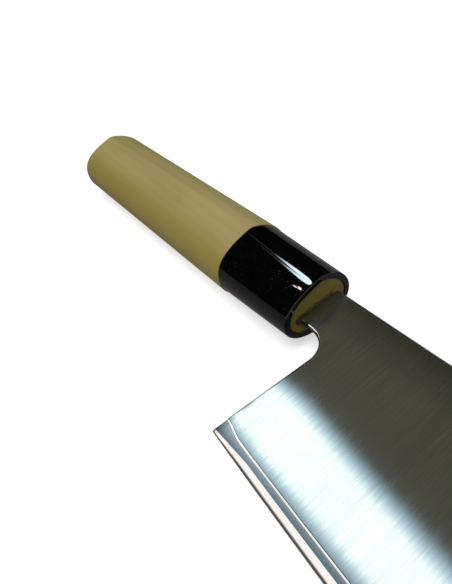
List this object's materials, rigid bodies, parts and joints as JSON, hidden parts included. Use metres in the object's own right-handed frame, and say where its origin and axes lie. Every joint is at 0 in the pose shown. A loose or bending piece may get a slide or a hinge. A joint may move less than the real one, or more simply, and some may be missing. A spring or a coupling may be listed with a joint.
{
  "type": "nakiri knife",
  "caption": "Straight-edged vegetable knife with a laminated blade, squared tip, ridged wooden handle and black ferrule; lies on its left side.",
  "frame": {"origin": "centre of the knife's box in X and Y, at the lowest point of the handle's left side", "axes": "+X from butt to tip, +Y from cutting edge to spine, +Z out of the blade's right face"},
  "size_m": [0.2938, 0.0516, 0.0207],
  "materials": {
    "core_steel": "hard steel, polished to a fine edge",
    "cladding": "satin, brushed from spine to edge",
    "bedding": "set resin, brown",
    "wood": "bare pale wood, sanded",
    "ferrule": "polished black"
  },
  "bodies": {
    "root": {"core_steel": "core_steel", "right_cladding": "cladding", "left_cladding": "cladding", "tang_bedding": "bedding", "handle_grip": "wood", "ferrule": "ferrule"}
  },
  "joints": []
}
